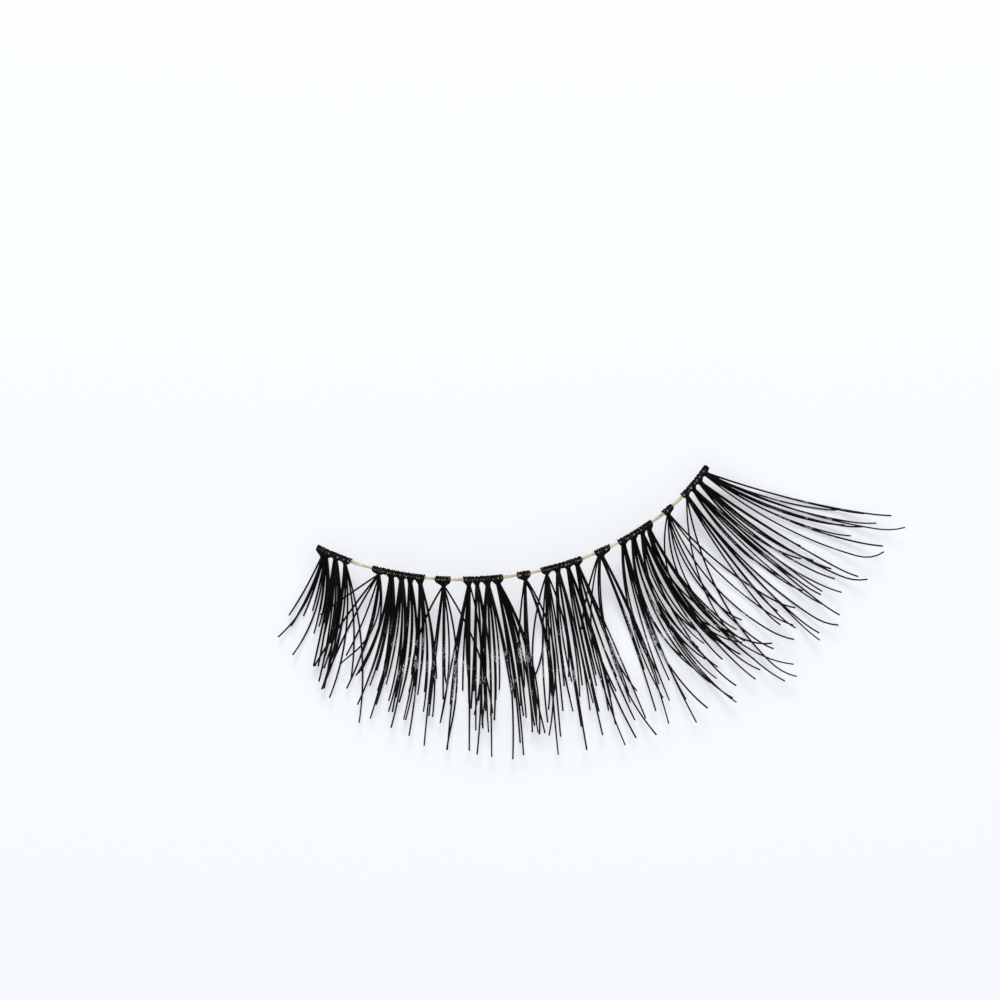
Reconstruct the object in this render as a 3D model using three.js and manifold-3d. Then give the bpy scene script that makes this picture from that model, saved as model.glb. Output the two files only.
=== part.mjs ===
// A false eyelash strip: tufts of black lashes knotted side by side on a thin cream thread.
// Millimetres. The strip lies on its lashes, with the knotted band raised above the surface at z = 0.
// +X runs along the band from the inner corner of the eye to the outer one, -Y is the side of the lashes.

import * as THREE from 'three';
import { mergeVertices } from 'three/addons/utils/BufferGeometryUtils.js';
import Module from 'manifold-3d';

const wasm = await Module();
wasm.setup();

// The band: a shallow bow that follows the eyelid and stands highest in its middle.
const BAND_SPAN = 29.7;
const BAND_BOW = 5.06;
const BAND_END_HEIGHT = 1.6;
const BAND_MIDDLE_HEIGHT = 3.0;
const BAND_HANDLES = { inner: 0.29, outer: 0.764 };

const THREAD_DIAMETER = 0.28;
const THREAD_SIDES = 8;
const THREAD_STEPS = 36;

// A knot is hair wrapped round the thread; two legs run from it to the neck, where the lashes start.
const KNOT_CLEARANCE = 0.05;
const KNOT_WRAP = 0.1;
const KNOT_CHAMFER = 0.1;
const KNOT_GAP = 0.06;
const LEG_THICKNESS = 0.28;
const LEG_SHARE_OF_KNOT = 0.88;
const NECK_DISTANCE = 0.75;
const NECK_WIDTH = 0.3;

// The lashes: each tuft is a fan of flat curved locks that touch the surface at the belly and rise to the tip.
const LONGEST_LASH = 15.3;
const LOCK_WIDTH = 0.21;
const LOCK_THICKNESS = 0.22;
const TIP_TAPER = 0.5;
const TIP_RISE = 1.2;
const BELLY_SHARE = 0.667;
const STEPS_TO_BELLY = 4;
const STEPS_TO_TIP = 2;
const LOCK_ROOT_OVERLAP = 0.18;

// Where the knots of each row begin and end, as shares of the band's length. Bare thread shows between the rows.
const ROWS = [
  { row: 'a', knotEnds: [0.000, 0.040, 0.064, 0.086] },
  { row: 'b', knotEnds: [0.136, 0.170, 0.198, 0.219, 0.241, 0.264] },
  { row: 'c', knotEnds: [0.286, 0.325] },
  { row: 'd', knotEnds: [0.350, 0.374, 0.395, 0.419, 0.444] },
  { row: 'e', knotEnds: [0.478, 0.511] },
  { row: 'f', knotEnds: [0.534, 0.558, 0.584, 0.608, 0.632] },
  { row: 'g', knotEnds: [0.664, 0.704] },
  { row: 'h', knotEnds: [0.724, 0.750, 0.776, 0.797, 0.817] },
  { row: 'i', knotEnds: [0.848, 0.878] },
  { row: 'j', knotEnds: [0.908, 0.931, 0.954, 0.977, 1.000] },
];

// The lashes of each tuft. Headings are in degrees from -Y towards +X, at the neck and at the tips; spread is
// half the fan's angle, and length is a share of the longest lash.
const TUFTS = [
  { tuft: 'a1', neck: -24, tip: -53, spread: 6.0, length: 0.43, locks: 4 },
  { tuft: 'a2', neck: -15, tip: -33, spread: 2.6, length: 0.57, locks: 3 },
  { tuft: 'a3', neck: -12, tip: -29, spread: 2.6, length: 0.63, locks: 3 },
  { tuft: 'b1', neck: -20, tip: -34, spread: 4.0, length: 0.55, locks: 4 },
  { tuft: 'b2', neck: -16, tip: -30, spread: 2.0, length: 0.60, locks: 3 },
  { tuft: 'b3', neck: -14, tip: -28, spread: 1.6, length: 0.66, locks: 3 },
  { tuft: 'b4', neck: -13, tip: -23, spread: 1.6, length: 0.71, locks: 3 },
  { tuft: 'b5', neck: -11, tip: -20, spread: 2.0, length: 0.74, locks: 3 },
  { tuft: 'c1', neck: -14, tip: -16, spread: 4.6, length: 0.79, locks: 4 },
  { tuft: 'd1', neck: -13, tip: -16, spread: 2.0, length: 0.80, locks: 3 },
  { tuft: 'd2', neck: -11, tip: -12, spread: 1.5, length: 0.82, locks: 3 },
  { tuft: 'd3', neck: -9, tip: -11, spread: 1.5, length: 0.83, locks: 3 },
  { tuft: 'd4', neck: -3, tip: -9, spread: 2.2, length: 0.85, locks: 3 },
  { tuft: 'e1', neck: -5, tip: -8, spread: 4.4, length: 0.77, locks: 4 },
  { tuft: 'f1', neck: -8, tip: -6, spread: 2.4, length: 0.86, locks: 3 },
  { tuft: 'f2', neck: -4, tip: -2, spread: 1.8, length: 0.87, locks: 3 },
  { tuft: 'f3', neck: 0, tip: 3, spread: 1.8, length: 0.83, locks: 3 },
  { tuft: 'f4', neck: 2, tip: 10, spread: 2.2, length: 0.90, locks: 3 },
  { tuft: 'g1', neck: 2, tip: 14, spread: 3.0, length: 0.91, locks: 4 },
  { tuft: 'h1', neck: 3, tip: 18, spread: 2.8, length: 0.87, locks: 3 },
  { tuft: 'h2', neck: 4, tip: 27, spread: 2.0, length: 0.92, locks: 3 },
  { tuft: 'h3', neck: 9, tip: 33, spread: 2.2, length: 0.91, locks: 3 },
  { tuft: 'h4', neck: 14, tip: 41, spread: 2.6, length: 0.93, locks: 3 },
  { tuft: 'i1', neck: 20, tip: 47, spread: 5.0, length: 0.96, locks: 4 },
  { tuft: 'j1', neck: 25, tip: 47, spread: 3.0, length: 0.95, locks: 3 },
  { tuft: 'j2', neck: 33, tip: 50, spread: 2.6, length: 0.92, locks: 3 },
  { tuft: 'j3', neck: 40, tip: 57, spread: 2.8, length: 0.92, locks: 3 },
  { tuft: 'j4', neck: 54, tip: 72, spread: 4.5, length: 1.00, locks: 4 },
];

// The locks across one fan, taken in turn. They end unevenly, at shares of the tuft's length, and each has its own
// share of the full thickness, so that the thinner ones leave the sides of the thicker ones.
const LOCKS = [
  { end: 0.90, thickness: 0.85 },
  { end: 1.00, thickness: 1.00 },
  { end: 0.85, thickness: 0.70 },
  { end: 0.94, thickness: 0.92 },
];

const hair = new THREE.MeshStandardMaterial({ color: 0x141417, roughness: 0.42, metalness: 0 });
const cotton = new THREE.MeshStandardMaterial({ color: 0xd8c594, roughness: 0.85, metalness: 0 });

const degrees = THREE.MathUtils.degToRad;

// The thread's centre line. A cubic's middle point takes 3/4 of its handles, which the two heights allow for.
function bandCurve() {
  const sag = (-4 / 3) * BAND_BOW;
  const crown = (4 * BAND_MIDDLE_HEIGHT - BAND_END_HEIGHT) / 3;
  return new THREE.CubicBezierCurve3(
    new THREE.Vector3(0, 0, BAND_END_HEIGHT),
    new THREE.Vector3(BAND_HANDLES.inner * BAND_SPAN, sag, crown),
    new THREE.Vector3(BAND_HANDLES.outer * BAND_SPAN, sag, crown),
    new THREE.Vector3(BAND_SPAN, 0, BAND_END_HEIGHT),
  );
}

// A regular polygon with its flats at the given distance from the centre.
function polygon(sides, flatDistance) {
  const corner = flatDistance / Math.cos(Math.PI / sides);
  const points = [];
  for (let i = 0; i < sides; i += 1) {
    const angle = ((i + 0.5) / sides) * 2 * Math.PI;
    points.push(new THREE.Vector2(corner * Math.cos(angle), corner * Math.sin(angle)));
  }
  return new THREE.Shape(points);
}

// A square with chamfered corners.
function chamferedSquare(half, chamfer) {
  const near = half - chamfer;
  const corners = [[half, near], [near, half], [-near, half], [-half, near],
    [-half, -near], [-near, -half], [near, -half], [half, -near]];
  return new THREE.Shape(corners.map(([x, y]) => new THREE.Vector2(x, y)));
}

function toSolid(geometry) {
  const bare = geometry.clone();
  bare.deleteAttribute('normal');
  bare.deleteAttribute('uv');
  const merged = mergeVertices(bare);
  return new wasm.Manifold(new wasm.Mesh({
    numProp: 3,
    vertProperties: new Float32Array(merged.attributes.position.array),
    triVerts: new Uint32Array(merged.index.array),
  }));
}

function toGeometry(solid) {
  const mesh = solid.getMesh();
  const geometry = new THREE.BufferGeometry();
  geometry.setAttribute('position', new THREE.BufferAttribute(mesh.vertProperties, 3));
  geometry.setIndex(new THREE.BufferAttribute(mesh.triVerts, 1));
  geometry.computeVertexNormals();
  return geometry;
}

// A closed strip of box section, bent so that each cross-section follows placeAt, which gives its middle, its
// heading, its width and its thickness for a place along the strip from 0 to 1.
function bentStrip(steps, placeAt) {
  const strip = new THREE.BoxGeometry(1, 1, 1, steps, 1, 1);
  const position = strip.attributes.position;
  for (let i = 0; i < position.count; i += 1) {
    const place = placeAt(position.getX(i) + 0.5);
    const aside = position.getY(i) * place.width;
    const above = position.getZ(i) * place.thickness;
    position.setXYZ(
      i,
      place.x + aside * Math.cos(place.heading),
      place.y + aside * Math.sin(place.heading),
      place.z + above,
    );
  }
  return strip;
}

// Height of a tuft's middle layer at a distance from the thread: down to the belly, then up to the tip. The
// thickest lock's underside meets the surface at the belly.
function layerHeight(distance, bandHeight, bellyDistance, endDistance, tipRise) {
  const resting = (LOCK_THICKNESS / 2) * THREE.MathUtils.lerp(1, TIP_TAPER, BELLY_SHARE);
  if (distance < bellyDistance) {
    return resting + (bandHeight - resting) * (1 - distance / bellyDistance) ** 2;
  }
  return resting + tipRise * ((distance - bellyDistance) / (endDistance - bellyDistance)) ** 2;
}

// The legs: a flat wedge that narrows from the knot to the neck.
function legs(knotWidth, legHeading, heightAt) {
  const start = THREAD_DIAMETER / 2 + KNOT_CLEARANCE + KNOT_WRAP / 2;
  const rootWidth = knotWidth * LEG_SHARE_OF_KNOT;
  return bentStrip(1, (step) => {
    const distance = THREE.MathUtils.lerp(start, NECK_DISTANCE, step);
    return {
      x: Math.sin(legHeading) * distance,
      y: -Math.cos(legHeading) * distance,
      z: heightAt(distance),
      heading: legHeading * step,
      width: THREE.MathUtils.lerp(rootWidth, NECK_WIDTH, step),
      thickness: LEG_THICKNESS,
    };
  });
}

// One lock: an arc in plan from its neck heading towards its tip heading, tapering in width and thickness. Its
// length is the whole tuft's, of which it takes the share that its row in LOCKS gives.
function lock(neck, neckHeading, tipHeading, length, kind, heightAt) {
  const shares = [0];
  for (let i = 1; i <= STEPS_TO_BELLY; i += 1) {
    shares.push((BELLY_SHARE * i) / STEPS_TO_BELLY);
  }
  for (let i = 1; i <= STEPS_TO_TIP; i += 1) {
    shares.push(THREE.MathUtils.lerp(BELLY_SHARE, kind.end, i / STEPS_TO_TIP));
  }
  const stations = [];
  let { x, y } = neck;
  shares.forEach((share, i) => {
    if (i > 0) {
      const step = (share - shares[i - 1]) * length;
      const middle = THREE.MathUtils.lerp(neckHeading, tipHeading, (share + shares[i - 1]) / 2);
      x += step * Math.sin(middle);
      y -= step * Math.cos(middle);
    }
    const back = i === 0 ? LOCK_ROOT_OVERLAP : 0;
    const taper = THREE.MathUtils.lerp(1, TIP_TAPER, share);
    stations.push({
      x: x - back * Math.sin(neckHeading),
      y: y + back * Math.cos(neckHeading),
      z: heightAt(NECK_DISTANCE + share * length - back),
      heading: THREE.MathUtils.lerp(neckHeading, tipHeading, share),
      width: LOCK_WIDTH * taper,
      thickness: LOCK_THICKNESS * taper * kind.thickness,
    });
  });
  return bentStrip(stations.length - 1, (step) => stations[Math.round(step * (stations.length - 1))]);
}

// A prism along the thread, with its section's +X side facing the lashes and pitched down with the legs.
function prismOnThread(shape, length, climb, pitch, height) {
  const prism = new THREE.ExtrudeGeometry(shape, { depth: length, bevelEnabled: false });
  prism.translate(0, 0, -length / 2);
  const along = new THREE.Vector3(Math.cos(climb), 0, Math.sin(climb));
  const out = new THREE.Vector3(0, -Math.cos(pitch), -Math.sin(pitch));
  out.addScaledVector(along, -out.dot(along)).normalize();
  const down = new THREE.Vector3().crossVectors(along, out);
  const place = new THREE.Matrix4().makeBasis(out, down, along).setPosition(0, 0, height);
  return prism.applyMatrix4(place);
}

// A tuft in its own frame: the thread passes over the origin along X, and the lashes leave towards -Y.
function tuftSolid(tuft, knotWidth, bandHeight, climb, turn) {
  const length = tuft.length * LONGEST_LASH;
  const boreHalf = THREAD_DIAMETER / 2 + KNOT_CLEARANCE;
  const knotHalf = boreHalf + KNOT_WRAP;
  const neckHeading = degrees(tuft.neck) - turn;
  const tipHeading = degrees(tuft.tip) - turn;
  const legHeading = neckHeading / 2;
  const neck = {
    x: Math.sin(legHeading) * NECK_DISTANCE,
    y: -Math.cos(legHeading) * NECK_DISTANCE,
  };
  const heightAt = (distance) => layerHeight(
    distance,
    bandHeight,
    NECK_DISTANCE + BELLY_SHARE * length,
    NECK_DISTANCE + length,
    TIP_RISE * tuft.length,
  );
  const pitch = Math.atan2(2 * bandHeight, NECK_DISTANCE + BELLY_SHARE * length);
  const block = prismOnThread(chamferedSquare(knotHalf, KNOT_CHAMFER), knotWidth, climb, pitch, bandHeight);
  let solid = toSolid(block).add(toSolid(legs(knotWidth, legHeading, heightAt)));
  for (let i = 0; i < tuft.locks; i += 1) {
    const aside = degrees(tuft.spread) * ((2 * i) / (tuft.locks - 1) - 1);
    const kind = LOCKS[i % LOCKS.length];
    const piece = lock(neck, neckHeading + aside, tipHeading + aside, length, kind, heightAt);
    solid = solid.add(toSolid(piece));
  }
  const bore = prismOnThread(polygon(THREAD_SIDES, boreHalf), 2 * knotWidth, climb, pitch, bandHeight);
  return toGeometry(solid.subtract(toSolid(bore)));
}

function threadMesh(curve) {
  const geometry = new THREE.ExtrudeGeometry(
    polygon(THREAD_SIDES, THREAD_DIAMETER / 2),
    { steps: THREAD_STEPS, extrudePath: curve, bevelEnabled: false },
  );
  const mesh = new THREE.Mesh(geometry, cotton);
  mesh.name = 'band_thread';
  return mesh;
}

function tuftMesh(curve, bandLength, tuft, knotStart, knotEnd) {
  const middle = (knotStart + knotEnd) / 2;
  const point = curve.getPointAt(middle);
  const tangent = curve.getTangentAt(middle);
  const turn = Math.atan2(tangent.y, tangent.x);
  const climb = Math.asin(tangent.z);
  const knotWidth = (knotEnd - knotStart) * bandLength - KNOT_GAP;
  const mesh = new THREE.Mesh(tuftSolid(tuft, knotWidth, point.z, climb, turn), hair.clone());
  mesh.name = `tuft_${tuft.tuft}`;
  mesh.position.set(point.x, point.y, 0);
  mesh.rotation.z = turn;
  return mesh;
}

function rowGroup(curve, bandLength, row) {
  const group = new THREE.Group();
  const tufts = TUFTS.filter((tuft) => tuft.tuft.startsWith(row.row));
  tufts.forEach((tuft, i) => {
    group.add(tuftMesh(curve, bandLength, tuft, row.knotEnds[i], row.knotEnds[i + 1]));
  });
  return group;
}

// The whole strip, moved so that the origin is the middle of its footprint on the surface.
function eyelashStrip() {
  const curve = bandCurve();
  const bandLength = curve.getLength();
  const strip = new THREE.Group();
  strip.add(threadMesh(curve));
  ROWS.forEach((row) => strip.add(rowGroup(curve, bandLength, row)));
  const box = new THREE.Box3().setFromObject(strip, true);
  const centre = box.getCenter(new THREE.Vector3());
  strip.position.set(-centre.x, -centre.y, -box.min.z);
  const part = new THREE.Group();
  part.add(strip);
  return part;
}

export default eyelashStrip();
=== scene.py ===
"""A false eyelash strip lying on its lashes: tufts of black hair knotted side by side on a cream thread."""

import itertools
import math
import random

import bmesh
import bpy
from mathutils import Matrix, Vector


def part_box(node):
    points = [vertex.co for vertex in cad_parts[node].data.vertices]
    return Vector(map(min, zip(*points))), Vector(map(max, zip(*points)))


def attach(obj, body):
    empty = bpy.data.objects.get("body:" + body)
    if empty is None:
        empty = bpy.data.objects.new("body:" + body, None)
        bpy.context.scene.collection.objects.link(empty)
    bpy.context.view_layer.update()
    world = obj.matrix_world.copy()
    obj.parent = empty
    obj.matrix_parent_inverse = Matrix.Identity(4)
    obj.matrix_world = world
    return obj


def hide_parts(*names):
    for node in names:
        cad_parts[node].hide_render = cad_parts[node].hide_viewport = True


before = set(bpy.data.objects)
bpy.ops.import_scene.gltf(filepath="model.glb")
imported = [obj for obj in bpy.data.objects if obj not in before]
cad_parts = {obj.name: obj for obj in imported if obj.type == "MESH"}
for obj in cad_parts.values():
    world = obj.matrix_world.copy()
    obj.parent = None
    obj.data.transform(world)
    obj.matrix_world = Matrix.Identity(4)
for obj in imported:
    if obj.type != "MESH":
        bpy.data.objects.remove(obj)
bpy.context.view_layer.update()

bl_info = {
    "name": "False Eyelash Strip",
    "version": (1, 0, 0),
    "blender": (4, 5, 0),
    "location": "3D View > Sidebar > Eyelashes",
    "description": "Builds the thread, the knotted tufts and the lashes of one false eyelash strip",
    "category": "Add Mesh",
}

MM = 0.001
SEED = 27

# The band: a shallow bow that stands highest in its middle, in its own frame with the inner end at x = 0.
BAND_SPAN = 29.7 * MM
BAND_BOW = 5.06 * MM
BAND_END_HEIGHT = 1.6 * MM
BAND_MIDDLE_HEIGHT = 3.0 * MM
BAND_INNER_HANDLE = 0.29
BAND_OUTER_HANDLE = 0.764
BAND_SAMPLES = 600
LENGTH_TOLERANCE = 1e-12

# The knots and legs, which lie where the frame's tufts have theirs.
THREAD_ENDS = (0.004, 0.996)
LOOP_PITCH = 0.17 * MM
LOOP_LEAN = 0.12 * MM
LOOP_STRAY = 0.30
LOOP_UNEVENNESS = 0.025 * MM
EDGE_WAVE_PITCH = 0.31 * MM
EDGE_SWAY_PITCH = 0.55 * MM
EDGE_OVERLAP = 0.07 * MM
EDGE_INSET = 0.09 * MM
END_WRAP_RADIUS = 0.20 * MM
END_WRAP_REACH = {-1: 0.02 * MM, 1: 0.08 * MM}
END_WRAP_INSETS = (0.02 * MM, 0.11 * MM)
END_WRAP_LEVELS = (-0.19, -0.17, -0.13, -0.07, 0.0, 0.07, 0.13, 0.17, 0.19)

# Hairs laid along a knot outside its loops, from its back edge over the top to its front edge.
EDGE_HAIRS = (
    dict(angle=math.radians(173), distance=0.205 * MM, radius=0.050 * MM, wave=0.034 * MM, sway=0),
    dict(angle=math.radians(138), distance=0.200 * MM, radius=0.050 * MM, wave=0.022 * MM, sway=0),
    dict(angle=math.radians(80), distance=0.215 * MM, radius=0.042 * MM, wave=0.015 * MM,
         sway=math.radians(26)),
    dict(angle=math.radians(46), distance=0.200 * MM, radius=0.050 * MM, wave=0.022 * MM, sway=0),
)

# The lashes touch the surface at the belly and rise to the tip. They cross in lanes one above another.
LONGEST_LASH = 15.3 * MM
BELLY_SHARE = 0.667
TIP_RISE = 1.2 * MM
SHORTEST_CURL = 0.8
LANE_STEP = 0.07 * MM
LEG_LEAVING = 0.24
LEG_ARRIVING = 0.30
LEG_SWELLING = (0.0, 0.3)
FILL_REACH = (0.70, 0.98)
LANES = 5
START_JITTER = 1.2
BUNCH_SIZE = 2.4
BUNCH_PULL = (0.2, 0.8)
BEND_POWER = 1.15
HOOK_STRETCH = (0.84, 1.05)
TIP_TAPER = (0.70, 1.0)

# How far single lashes stray from the common sizes, as factors.
BEND_SPREAD = (0.4, 1.4)
RADIUS_SPREAD = (0.92, 1.08)
TIP_SPREAD = (0.9, 1.1)
SPAN_SPREAD = (0.97, 1.03)

# Rings along each stretch of a hair, which runs from one lash's tip over the thread to the other's. A short
# hair ends just past the neck.
LASH_STEPS = 28
LEG_STEPS = 6
LOOP_STEPS = 10
SHORT_STEPS = 3
EDGE_STEPS = 30
PLY_STEPS = 420
HAIR_SIDES = 8
PLY_SIDES = 10
PLY_SHARE = 0.70

# Where the knots of each row begin and end, as shares of the band's length.
KNOT_ENDS = {
    "a": (0.000, 0.040, 0.064, 0.086),
    "b": (0.136, 0.170, 0.198, 0.219, 0.241, 0.264),
    "c": (0.286, 0.325),
    "d": (0.350, 0.374, 0.395, 0.419, 0.444),
    "e": (0.478, 0.511),
    "f": (0.534, 0.558, 0.584, 0.608, 0.632),
    "g": (0.664, 0.704),
    "h": (0.724, 0.750, 0.776, 0.797, 0.817),
    "i": (0.848, 0.878),
    "j": (0.908, 0.931, 0.954, 0.977, 1.000),
}

# The neck and the tips are pixels (x, y), read in the enlarged photograph. The necks of a1 and a2 are
# moved down a little, so that their legs show. The other lashes are guesses: (heading, reach) of the end, as
# seen from the neck, in degrees and mm. A stray lash of either kind adds its own heading at the neck, and a
# hooked one the degrees that its last stretch turns, which bend gives for the others.
# Headings run from -Y towards +X. The fan holds those at the neck of the leftmost and rightmost lash. Fill
# is the number of shorter lashes between the others, length is a share of the longest lash, width is the
# neck's in mm, and gloss, the painted glint strength, is the strength of the painted highlights on the
# bellies.
TUFTS = {
    "a1": dict(neck=(324.2, 557.6), width=0.64, fan=(-37, -6), length=0.43, painted_glint_strength=0.0,
        tips=((281, 636, -24), (292, 615, -37), (293, 625, -30), (304, 615), (293, 653.5, -14),
            (313, 632, -14)),
        lashes=((-34, 3.4, -33), (-25, 4.0, -22), (-18, 3.9), (-18, 5.1), (-14, 4.8), (-12, 4.2))),
    "a2": dict(neck=(335.6, 559.3), width=0.40, fan=(-22, -4), length=0.57, painted_glint_strength=0.0,
        tips=((315, 665), (319, 665), (319, 680)),
        lashes=((-22, 4.9), (-20, 5.6), (-18, 7.2), (-17, 9.6), (-16, 6.2), (-14, 6.7), (-12, 5.4))),
    "a3": dict(neck=(345.2, 563.7), width=0.30, fan=(-15, -4), length=0.63, painted_glint_strength=0.0,
        tips=((322, 688), (329, 696, -6), (358, 721, 4)),
        lashes=((-24, 6.6), (-23, 7.9), (-21, 8.7), (-20, 7.1), (-9, 8.4, 0))),
    "b1": dict(neck=(378.7, 574), width=0.30, fan=(-30, -10), length=0.55, painted_glint_strength=0.1,
        tips=((321, 614, -68), (315, 665, -51), (340, 663, 0, 25), (346, 687, -19)),
        lashes=((-38, 9.5, -44), (-34, 6.5, -28), (-25, 6.4, -15), (-24, 7.5, -4))),
    "b2": dict(neck=(391.4, 577), width=0.42, fan=(-20, -8), length=0.60, painted_glint_strength=0.2,
        tips=((358, 674), (358.5, 703), (370, 684)),
        lashes=((-29, 7.3), (-24, 7.4), (-21, 7.0), (-18, 8.5), (-17, 6.4), (-16, 7.4), (-15, 5.8))),
    "b3": dict(neck=(401.6, 580), width=0.42, fan=(-18, -5), length=0.66, painted_glint_strength=0.5,
        tips=((372, 717), (379, 689), (377, 703)),
        lashes=((-20, 7.8), (-19, 6.6), (-18, 9.0), (-16, 9.8), (-15, 8.7), (-14, 7.3), (-13, 6.6))),
    "b4": dict(neck=(410.3, 582.5), width=0.36, fan=(-14, 0), length=0.71, painted_glint_strength=1.0,
        tips=((390, 710), (392, 726)),
        lashes=((-18, 7.6), (-17, 8.9), (-15, 7.3), (-14, 10.2), (-13, 8.1), (-12, 6.4))),
    "b5": dict(neck=(420.5, 584), width=0.36, fan=(-12, 4), length=0.74, painted_glint_strength=0.5,
        tips=((405, 718), (410, 734), (423, 710)),
        lashes=((-15, 7.6), (-13, 8.2), (-12, 6.9), (-10, 8.0), (-8, 8.9), (-7, 9.9), (-3, 7.1))),
    "c1": dict(neck=(443.5, 586), width=0.36, fan=(-21, 10), length=0.79, painted_glint_strength=0.3,
        tips=((425, 744, -20), (446, 748, 5, 12), (446, 684, -11, 25)),
        lashes=((-31, 7.0, -44), (-18, 9.7, -18), (-13, 10.1, -2), (-12, 8.4, -13), (9, 10.1, 21))),
    "d1": dict(neck=(468.7, 585.5), width=0.36, fan=(-24, -12), length=0.80, painted_glint_strength=0.9,
        tips=((451, 703), (468, 702), (468, 749)),
        lashes=((-23, 10.4), (-19, 12.3), (-15, 7.8), (-12, 7.1), (-10, 9.6, 4))),
    "d2": dict(neck=(477, 584.6), width=0.34, fan=(-13, 0), length=0.82, painted_glint_strength=0.6,
        tips=((477, 752.5), (489, 714)),
        lashes=((-14, 9.2), (-13, 7.9), (-12, 10.8), (-11, 8.6), (-10, 10.4), (-9, 7.4))),
    "d3": dict(neck=(487.7, 585.3), width=0.42, fan=(-17, 4), length=0.83, painted_glint_strength=0.6,
        tips=((492, 755),),
        lashes=((-13, 10.6), (-12, 9.3), (-11, 10.9), (-10, 7.6), (-9, 10.0), (-8, 8.5), (-6, 7.8),
            (0, 8.2), (1, 8.6))),
    "d4": dict(neck=(498.4, 583.6), width=0.38, fan=(0, 17), length=0.85, painted_glint_strength=0.7,
        tips=((514, 757), (521, 741), (524, 753), (526, 716)),
        lashes=((-1, 9.2), (1, 8.6), (1, 11.3), (2, 7.9), (3, 10.8), (3, 11.6))),
    "e1": dict(neck=(525.3, 579.5), width=0.34, fan=(-20, -9), length=0.77, painted_glint_strength=0.6,
        tips=((535, 724, -13), (548, 734, 14)),
        lashes=((-12, 10.1, -20), (-7, 10.0, -10), (-7, 11.4, -12), (-7, 7.4, 21), (-2, 9.8, 12),
            (1, 9.0, 21))),
    "f1": dict(neck=(546.4, 574.2), width=0.28, fan=(-16, 2), length=0.86, painted_glint_strength=0.5,
        tips=((558, 753, -10), (560, 735, -7)),
        lashes=((-12, 11.8, -30, -10), (-11, 11.0, -17), (-9, 9.0, -13), (-5, 10.2, -4), (-3, 8.4, 0),
            (0, 7.8, 13))),
    "f2": dict(neck=(557.7, 571.9), width=0.38, fan=(-13, 6), length=0.87, painted_glint_strength=0.8,
        tips=((571, 696), (586, 748), (588, 709)),
        lashes=((-5, 10.4), (-4, 8.2), (-3, 11.6), (-2, 9.4), (0, 8.6))),
    "f3": dict(neck=(567.9, 567.8), width=0.34, fan=(-3, 11), length=0.83, painted_glint_strength=1.0,
        tips=((594, 701), (603, 733), (599, 709.5), (614, 723), (609, 696)),
        lashes=((2, 9.0), (3, 8.2), (4, 11.0))),
    "f4": dict(neck=(577, 565), width=0.36, fan=(-4, 13), length=0.90, painted_glint_strength=0.8,
        tips=((626, 743), (636, 736), (634, 718.5), (629, 701), (643.5, 717)),
        lashes=((6, 9.8), (8, 8.8), (10, 10.2))),
    "g1": dict(neck=(600, 556), width=0.58, fan=(-14, 18), length=0.91, painted_glint_strength=0.6,
        tips=((656, 733, -14),),
        lashes=((-24, 5.6, -31), (-14, 7.4, -25), (4, 10.4, -17), (8, 12.2, 11), (9, 9.0, 12),
            (10, 13.4, 16), (12, 10.4, 17))),
    "h1": dict(neck=(622.8, 545), width=0.38, fan=(-13, 4), length=0.87, bend=0, painted_glint_strength=0.5,
        tips=((663.5, 696, -10), (669, 699, 0), (684, 698, 4), (694, 721, 5)),
        lashes=((2, 8.8, -11), (4, 9.8, -9), (6, 8.2, 2), (7, 10.6, 2))),
    "h2": dict(neck=(633, 539.3), width=0.42, fan=(-10, 4), length=0.92, fill=2, bend=6, painted_glint_strength=0.9,
        tips=((708, 706), (709, 681), (715, 677), (734, 701), (715, 666)),
        lashes=((12, 9.4), (14, 10.6), (16, 8.9))),
    "h3": dict(neck=(642.1, 534.5), width=0.36, fan=(-6, 15), length=0.91, fill=2, bend=8, painted_glint_strength=1.0,
        tips=((733, 696), (704, 642), (735, 684), (753, 678)),
        lashes=((16, 10.4), (19, 8.6), (21, 11.0), (23, 9.9))),
    "h4": dict(neck=(648.8, 530.7), width=0.40, fan=(4, 18), length=0.93, fill=2, bend=10, painted_glint_strength=0.8,
        tips=((726, 643.5), (753, 658), (743, 640), (782, 680)),
        lashes=((22, 8.4), (24, 9.2), (25, 11.4), (27, 13.2))),
    "i1": dict(neck=(667.8, 514.5), width=0.36, fan=(-19, 15), length=0.96, bend=14, painted_glint_strength=0.5,
        tips=((773, 647, 9), (771, 641.5, -12), (792, 662.5, -5), (792, 638, 14), (791, 624, 25),
            (793, 607, 31)),
        lashes=((19, 11.0, -22), (24, 9.6, 3))),
    "j1": dict(neck=(687.2, 497.2), width=0.36, fan=(17, 27), length=0.95, bend=14, painted_glint_strength=0.2,
        tips=((780, 623), (818, 639), (817, 632), (836, 624.5, 27, 30)),
        lashes=((9, 11.5, -10), (20, 15.6, 1, 30), (27, 10.8), (28, 12.6))),
    "j2": dict(neck=(694.2, 490.2), width=0.36, fan=(22, 36), length=0.92, bend=8, painted_glint_strength=0.3,
        tips=((796, 578), (838, 614), (819, 594), (820, 591)),
        lashes=((30, 6.8), (34, 9.0), (36, 11.0), (37, 12.8))),
    "j3": dict(neck=(700.6, 482.5), width=0.38, fan=(26, 44), length=0.92, bend=10, painted_glint_strength=0.6,
        tips=((842, 590), (834, 577), (856, 576), (865, 579, 37, 35)),
        lashes=((42, 9.4), (44, 10.2), (45, 11.6), (46, 8.8))),
    "j4": dict(neck=(707, 474), width=0.40, fan=(42, 60), length=1.00, bend=8, painted_glint_strength=0.6,
        tips=((883.5, 549, 43, 55), (850.5, 533.5, 45), (882, 544, 45), (844, 523), (875, 522),
            (903, 527, 54, 25), (889, 516)),
        lashes=((60, 12.2), (63, 10.0), (64, 12.0))),
}

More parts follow.
